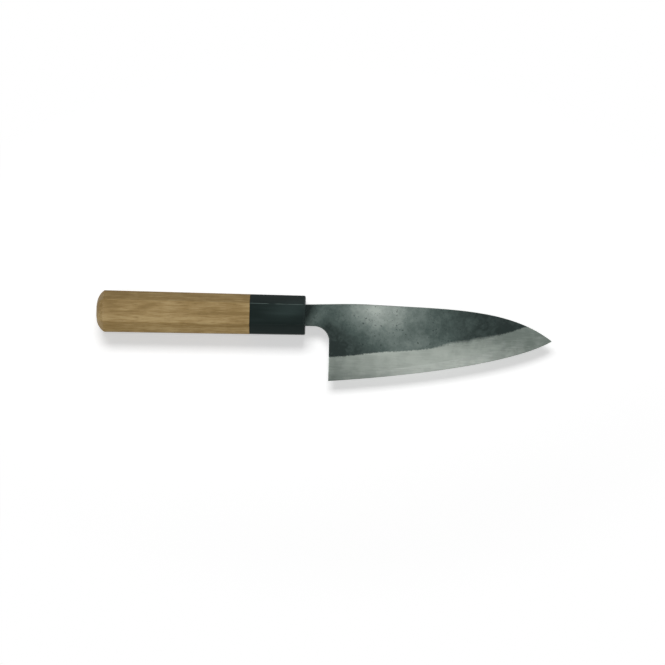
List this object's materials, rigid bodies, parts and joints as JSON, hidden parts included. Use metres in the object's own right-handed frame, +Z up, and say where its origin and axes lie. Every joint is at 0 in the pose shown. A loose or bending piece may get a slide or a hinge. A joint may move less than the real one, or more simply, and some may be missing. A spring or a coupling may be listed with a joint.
{
  "type": "kitchen knife",
  "caption": "Small pointed kitchen knife: laminated forged blade with dark flats and bright ground bevels, its hidden tang bedded in an octagonal wooden handle with a dark ferrule.",
  "frame": {"origin": "middle of the lying knife's footprint, on the surface that its handle lies on", "axes": "+X from the butt to the tip, +Y from the edge to the spine, +Z up through the blade's right side"},
  "size_m": [0.2404, 0.0454, 0.019],
  "materials": {
    "core_steel": "honed satin steel",
    "cladding_iron": "dark forge scale above, satin ground bevel below",
    "handle_wood": "oiled open-grained hardwood",
    "ferrule_horn": "polished dark horn",
    "dowel_wood": "bare pale wood",
    "bedding_resin": "dark set resin"
  },
  "bodies": {
    "root": {"blade_core": "core_steel", "right_cladding": "cladding_iron", "left_cladding": "cladding_iron", "handle_body": "handle_wood", "ferrule": "ferrule_horn", "handle_dowel": "dowel_wood", "tang_bedding": "bedding_resin", "neck_seal": "bedding_resin"}
  },
  "joints": []
}
